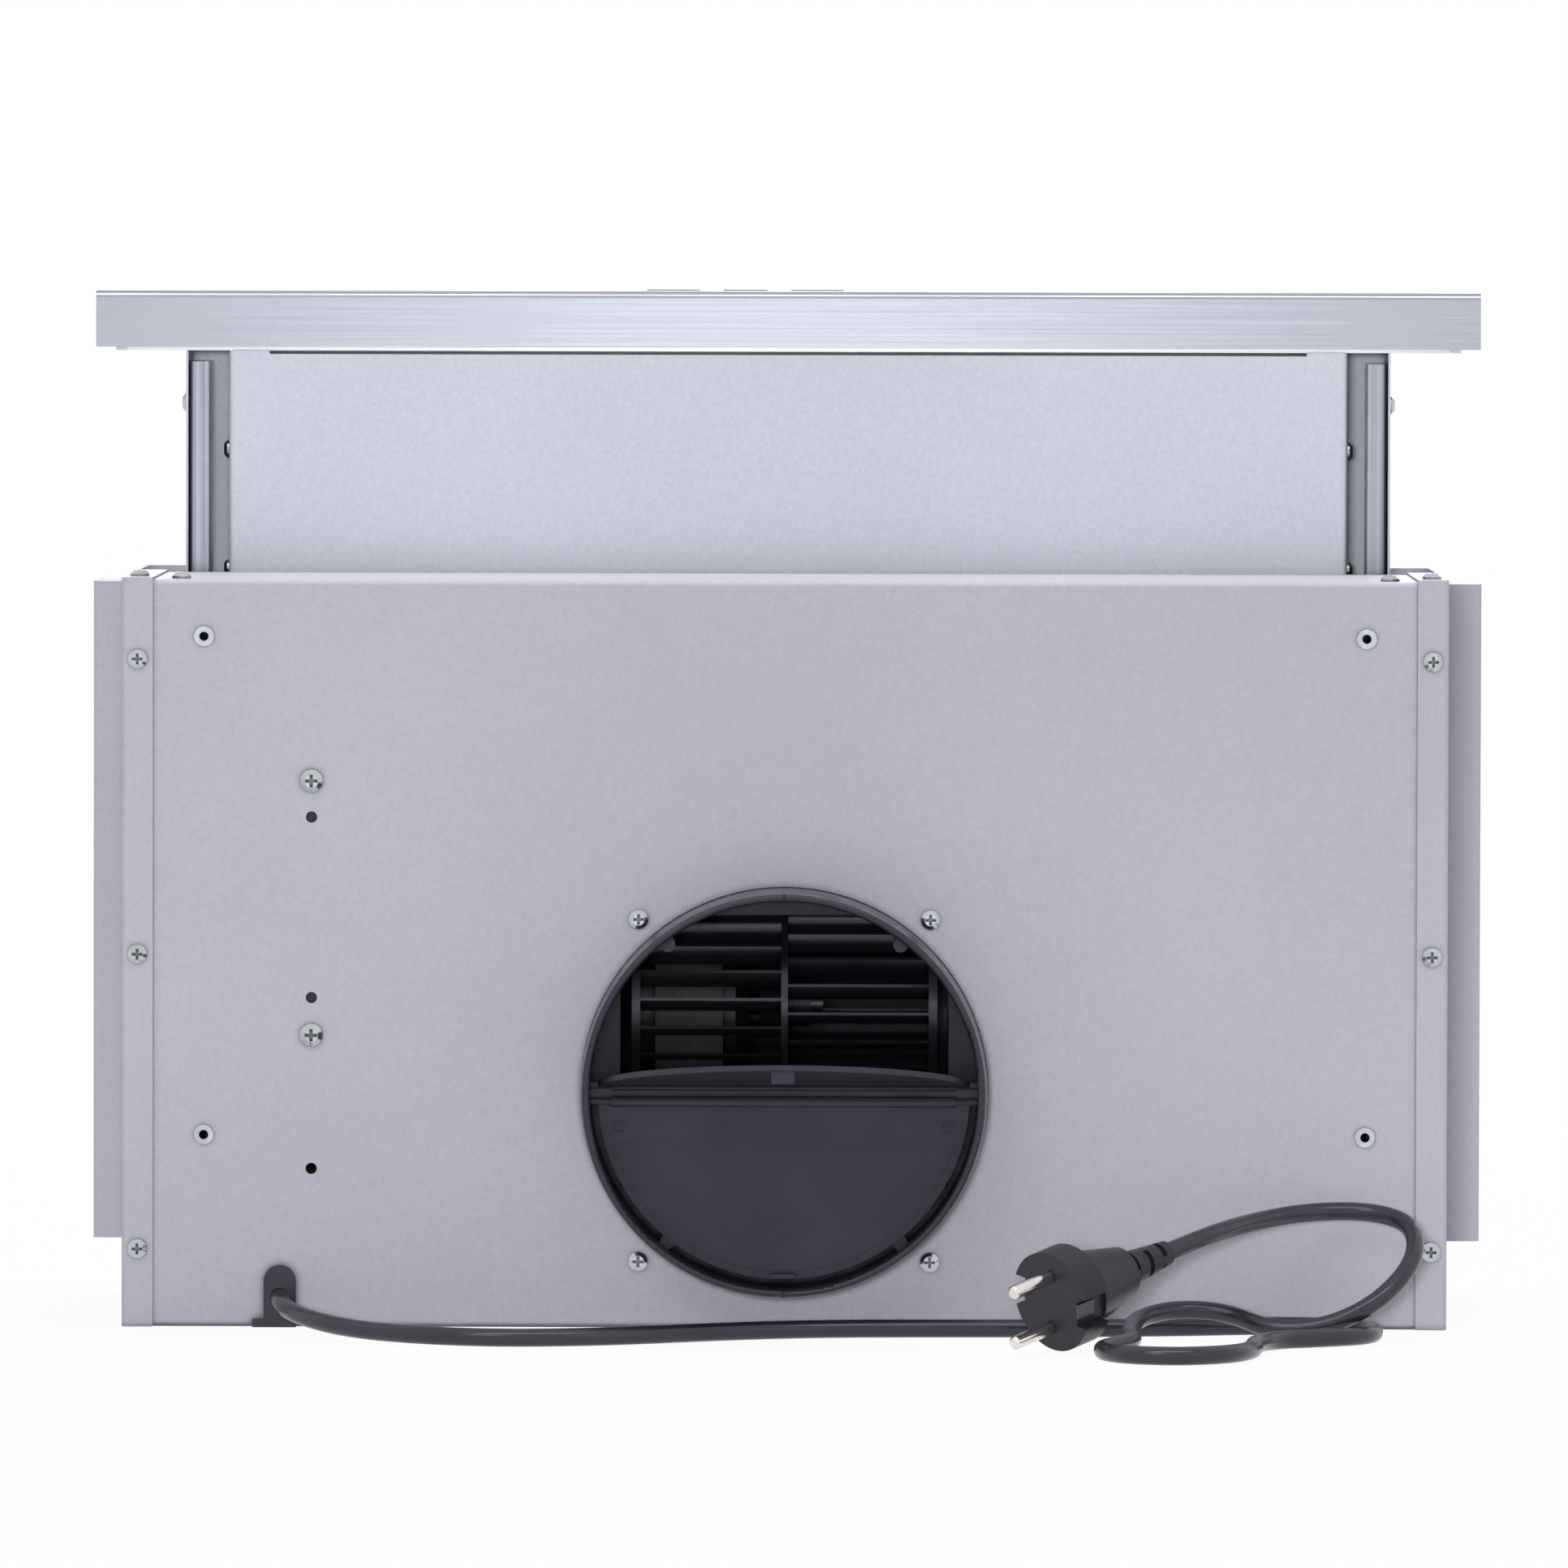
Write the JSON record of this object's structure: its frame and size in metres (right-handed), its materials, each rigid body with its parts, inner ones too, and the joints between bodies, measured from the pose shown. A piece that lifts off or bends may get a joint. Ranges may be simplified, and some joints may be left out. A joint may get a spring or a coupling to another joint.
{
  "type": "telescopic range hood",
  "caption": "Built-in telescopic cooker hood with a pull-out drawer, round duct collar with butterfly flaps, centrifugal blower, filters, lamps and mains lead.",
  "frame": {"origin": "middle of the rear wall's lower edge as installed turned down: a point on the rear face, midway between the sides", "axes": "+X to the right in the picture, +Y from the duct face towards the filters, +Z the way the drawer pulls out; the hood stands on its rear wall as pictured"},
  "size_m": [0.5, 0.336, 0.3658],
  "materials": {
    "casing_paint": "fine-grained matt silver-grey paint",
    "drawer_paint": "fine-grained matt pale grey paint",
    "bar_steel": "long-grain brushed stainless steel",
    "screw_zinc": "bright bluish zinc plating",
    "zinc": "bluish zinc plating",
    "motor_steel": "dull zinc-plated pressed steel",
    "shaft_steel": "ground steel",
    "black_plastic": "black moulding, slightly glossy",
    "cord_pvc": "charcoal soft moulding",
    "pin_nickel": "nickel plating",
    "filter_aluminium": "plain aluminium",
    "filter_mesh": "expanded mesh",
    "latch_plastic": "grey moulding",
    "stator_varnish": "varnished laminations",
    "capacitor_can": "drawn can",
    "button_plastic": "satin grey moulding",
    "lamp_housing": "white moulding",
    "lamp_lens": "frosted white lens"
  },
  "bodies": {
    "casing": {"blower_housing_left": "black_plastic", "blower_housing_right": "black_plastic", "body_filter_frame": "filter_aluminium", "body_filter_mesh": "filter_mesh", "cabinet_rivnuts": "screw_zinc", "capacitor": "capacitor_can", "casing_screws": "screw_zinc", "collar_screws": "screw_zinc", "control_box": "black_plastic", "control_box_cover": "black_plastic", "control_box_screws": "screw_zinc", "cord_grommet": "cord_pvc", "duct_collar": "black_plastic", "lamp_housing_left": "lamp_housing", "lamp_housing_right": "lamp_housing", "lamp_lens_left": "lamp_lens", "lamp_lens_right": "lamp_lens", "lamp_panel": "casing_paint", "mains_cord": "cord_pvc", "motor_bracket": "motor_steel", "motor_end_cover_inner": "motor_steel", "motor_end_cover_outer": "motor_steel", "motor_stator": "stator_varnish", "plug_body": "cord_pvc", "plug_earth_clips": "pin_nickel", "plug_pins": "pin_nickel", "rail_bracket_left": "zinc", "rail_bracket_right": "zinc", "side_panel_left": "casing_paint", "side_panel_right": "casing_paint", "skirt_left": "casing_paint", "skirt_right": "casing_paint", "slide_fixed_left": "zinc", "slide_fixed_right": "zinc", "upper_casing": "casing_paint"},
    "drawer": {"front_bar": "bar_steel", "bar_back_plate": "bar_steel", "drawer_panel": "drawer_paint", "drawer_side_left": "drawer_paint", "drawer_side_right": "drawer_paint", "slide_moving_left": "zinc", "slide_moving_right": "zinc", "drawer_rear_rail": "drawer_paint", "drawer_screws": "screw_zinc", "slide_screws": "screw_zinc", "switch_block": "black_plastic", "drawer_filter_frame": "filter_aluminium", "drawer_filter_mesh": "filter_mesh"},
    "wheel": {"blower_wheel": "black_plastic", "motor_shaft": "shaft_steel"},
    "ball_cage_left": {"ball_cage_left": "zinc"},
    "ball_cage_right": {"ball_cage_right": "zinc"},
    "flap_upper": {"flap_upper": "black_plastic"},
    "flap_lower": {"flap_lower": "black_plastic"},
    "button_light": {"button_light": "button_plastic"},
    "button_speed_low": {"button_speed_low": "button_plastic"},
    "button_speed_high": {"button_speed_high": "button_plastic"},
    "body_filter_latch": {"body_filter_latch": "latch_plastic"},
    "drawer_filter_latch": {"drawer_filter_latch": "latch_plastic"}
  },
  "joints": [
    {"name": "drawer_slide", "type": "slide", "parent": "casing", "child": "drawer", "axis": [0, 0, 1], "range_m": [-0.078, 0.065]},
    {"name": "ball_cage_left_slide", "type": "slide", "parent": "casing", "child": "ball_cage_left", "axis": [0, 0, 1], "range_m": [-0.039, 0.0325]},
    {"name": "ball_cage_right_slide", "type": "slide", "parent": "casing", "child": "ball_cage_right", "axis": [0, 0, 1], "range_m": [-0.039, 0.0325]},
    {"name": "flap_upper_hinge", "type": "hinge", "parent": "casing", "child": "flap_upper", "pos_m": [0, -0.092, 0.087], "axis": [1, 0, 0], "range_deg": [-81, 0]},
    {"name": "flap_lower_hinge", "type": "hinge", "parent": "casing", "child": "flap_lower", "pos_m": [0, -0.092, 0.081], "axis": [-1, 0, 0], "range_deg": [0, 81]},
    {"name": "wheel_spin", "type": "hinge", "parent": "casing", "child": "wheel", "pos_m": [0, -0.024, 0.112], "axis": [1, 0, 0], "continuous": true},
    {"name": "button_light_press", "type": "slide", "parent": "drawer", "child": "button_light", "axis": [0, 0, -1], "range_m": [0, 0.0015], "stiffness_N_per_m": 500, "springref_m": -0.002},
    {"name": "button_speed_low_press", "type": "slide", "parent": "drawer", "child": "button_speed_low", "axis": [0, 0, -1], "range_m": [0, 0.0015], "stiffness_N_per_m": 500, "springref_m": -0.002},
    {"name": "button_speed_high_press", "type": "slide", "parent": "drawer", "child": "button_speed_high", "axis": [0, 0, -1], "range_m": [0, 0.0015], "stiffness_N_per_m": 500, "springref_m": -0.002},
    {"name": "body_filter_latch_slide", "type": "slide", "parent": "casing", "child": "body_filter_latch", "axis": [0, 0, -1], "range_m": [0, 0.003], "stiffness_N_per_m": 400, "springref_m": -0.003},
    {"name": "drawer_filter_latch_slide", "type": "slide", "parent": "drawer", "child": "drawer_filter_latch", "axis": [0, 0, -1], "range_m": [0, 0.003], "stiffness_N_per_m": 400, "springref_m": -0.003}
  ],
  "couplings": [
    {"joint": "ball_cage_left_slide", "follows": "drawer_slide", "ratio": 0.5},
    {"joint": "ball_cage_right_slide", "follows": "drawer_slide", "ratio": 0.5}
  ]
}
